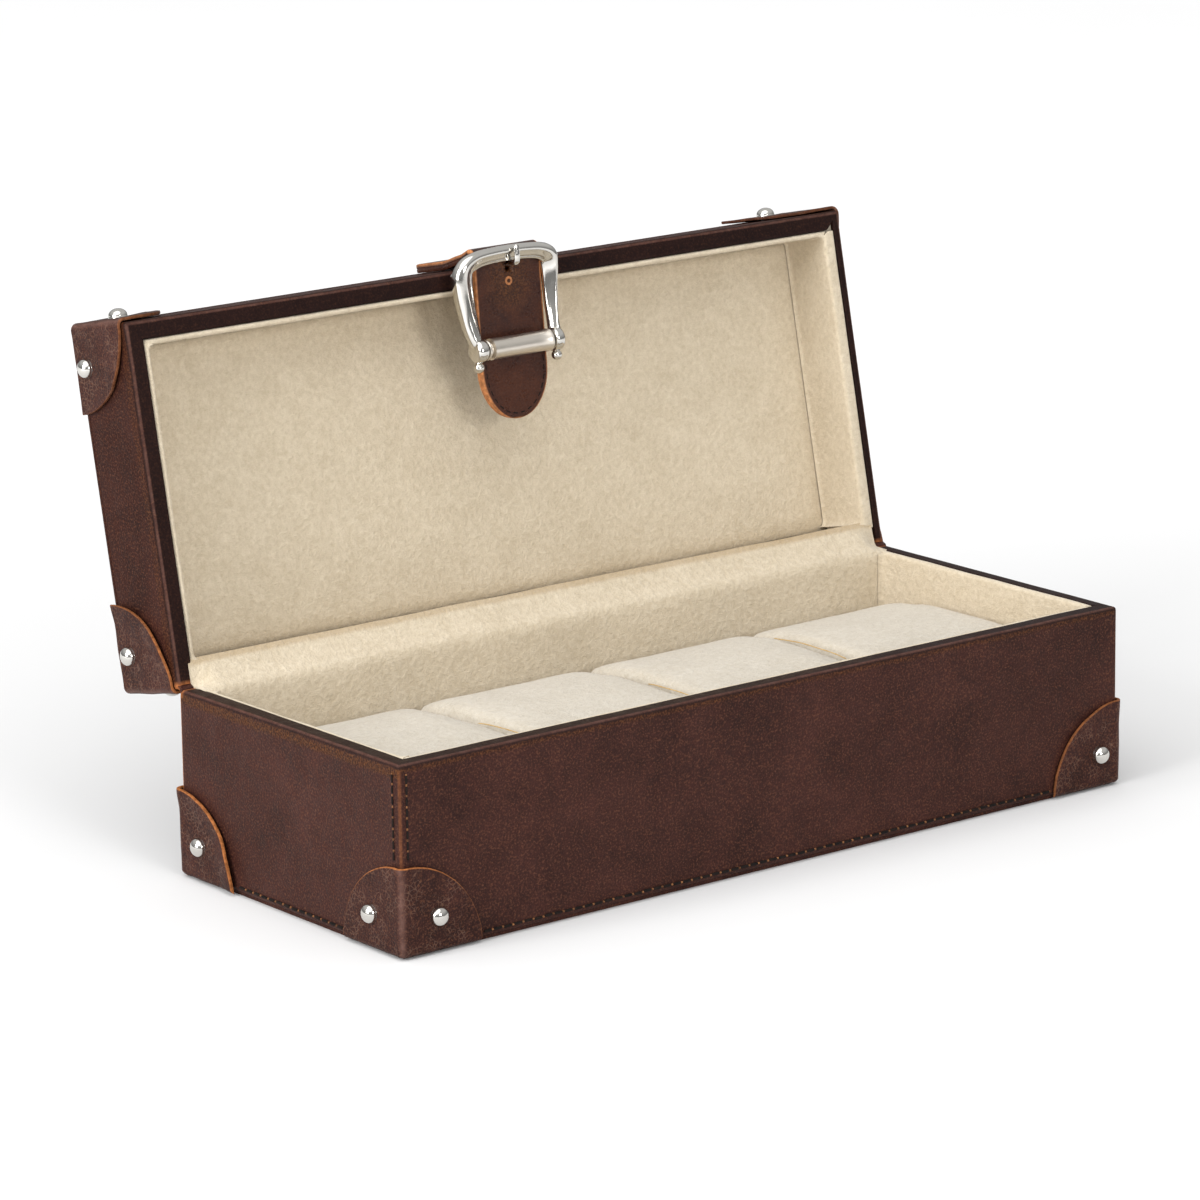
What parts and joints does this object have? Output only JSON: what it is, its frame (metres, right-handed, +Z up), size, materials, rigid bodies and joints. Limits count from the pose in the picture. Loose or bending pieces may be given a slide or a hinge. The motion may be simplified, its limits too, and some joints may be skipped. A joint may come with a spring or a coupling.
{
  "type": "watch box",
  "caption": "Leather-covered watch box with a hinged lid, a buckled closing strap, riveted corner patches, a suede lining and lift-out watch cushions.",
  "frame": {"origin": "centre of the base's underside, on the surface that the box stands on", "axes": "+X along the box's length to the right, +Y from the front to the hinge at the back, +Z up"},
  "size_m": [0.2984, 0.172, 0.181],
  "materials": {
    "box_leather": "smooth dark brown waxed leather, satin",
    "patch_leather": "thicker dark brown leather with raw tan edges",
    "strap_leather": "dark brown strap leather with raw tan edges",
    "board": "grey board",
    "suede_lining": "beige faux suede, matt",
    "cushion_suede": "cream faux suede, matt",
    "nickel": "polished nickel plate",
    "steel": "plain plated steel"
  },
  "bodies": {
    "base": {"base_leather_front": "box_leather", "base_leather_right": "box_leather", "base_leather_back": "box_leather", "base_leather_left": "box_leather", "base_leather_bottom": "box_leather", "base_board_tray": "board", "base_lining_front": "suede_lining", "base_lining_right": "suede_lining", "base_lining_back": "suede_lining", "base_lining_left": "suede_lining", "base_lining_floor": "suede_lining", "base_patch_front_left": "patch_leather", "base_patch_back_left": "patch_leather", "base_patch_front_right": "patch_leather", "base_patch_back_right": "patch_leather", "base_rivet_front_left_long": "nickel", "base_rivet_front_left_end": "nickel", "base_rivet_back_left_long": "nickel", "base_rivet_back_left_end": "nickel", "base_rivet_front_right_long": "nickel", "base_rivet_front_right_end": "nickel", "base_rivet_back_right_long": "nickel", "base_rivet_back_right_end": "nickel", "closing_plate": "steel"},
    "lid": {"lid_leather_front": "box_leather", "lid_leather_right": "box_leather", "lid_leather_back": "box_leather", "lid_leather_left": "box_leather", "lid_leather_top": "box_leather", "lid_board_tray": "board", "lid_lining_front": "suede_lining", "lid_lining_right": "suede_lining", "lid_lining_back": "suede_lining", "lid_lining_left": "suede_lining", "lid_panel_padded": "suede_lining", "lid_patch_front_left": "patch_leather", "lid_patch_back_left": "patch_leather", "lid_patch_front_right": "patch_leather", "lid_patch_back_right": "patch_leather", "lid_rivet_front_left_long": "nickel", "lid_rivet_front_left_end": "nickel", "lid_rivet_back_left_long": "nickel", "lid_rivet_back_left_end": "nickel", "lid_rivet_front_right_long": "nickel", "lid_rivet_front_right_end": "nickel", "lid_rivet_back_right_long": "nickel", "lid_rivet_back_right_end": "nickel", "strap_root": "strap_leather"},
    "strap_bend": {"strap_bend": "strap_leather"},
    "strap_flap": {"strap_back": "strap_leather", "strap_front": "strap_leather", "strap_magnet": "steel", "buckle_frame": "nickel"},
    "buckle_prong": {"buckle_prong": "nickel"},
    "buckle_roller": {"buckle_roller": "nickel"},
    "cushion_1": {"cushion_1": "cushion_suede"},
    "cushion_2": {"cushion_2": "cushion_suede"},
    "cushion_3": {"cushion_3": "cushion_suede"},
    "cushion_4": {"cushion_4": "cushion_suede"}
  },
  "joints": [
    {"name": "lid_hinge", "type": "hinge", "parent": "base", "child": "lid", "pos_m": [0, 0.0575, 0.06], "axis": [1, 0, 0], "range_deg": [0, 101.7]},
    {"name": "strap_follow", "type": "hinge", "parent": "lid", "child": "strap_bend", "pos_m": [0, 0.07681, 0.1764], "axis": [1, 0, 0], "range_deg": [-110, 0]},
    {"name": "strap_swing", "type": "hinge", "parent": "strap_bend", "child": "strap_flap", "pos_m": [0, 0.07681, 0.1764], "axis": [1, 0, 0], "range_deg": [-50, 13]},
    {"name": "prong_tilt", "type": "hinge", "parent": "strap_flap", "child": "buckle_prong", "pos_m": [-0.0022, 0.07752, 0.17082], "axis": [1, 0, 0], "range_deg": [0, 18]},
    {"name": "roller_spin", "type": "hinge", "parent": "strap_flap", "child": "buckle_roller", "pos_m": [-0.003, 0.0676, 0.1481], "axis": [1, 0, 0], "continuous": true},
    {"name": "cushion_1_lift", "type": "slide", "parent": "base", "child": "cushion_1", "axis": [0, 0, -1], "range_m": [-0.08, 0]},
    {"name": "cushion_2_lift", "type": "slide", "parent": "base", "child": "cushion_2", "axis": [0, 0, -1], "range_m": [-0.08, 0]},
    {"name": "cushion_3_lift", "type": "slide", "parent": "base", "child": "cushion_3", "axis": [0, 0, -1], "range_m": [-0.08, 0]},
    {"name": "cushion_4_lift", "type": "slide", "parent": "base", "child": "cushion_4", "axis": [0, 0, -1], "range_m": [-0.08, 0]}
  ],
  "couplings": [
    {"joint": "strap_follow", "follows": "lid_hinge", "ratio": -1.0786}
  ]
}
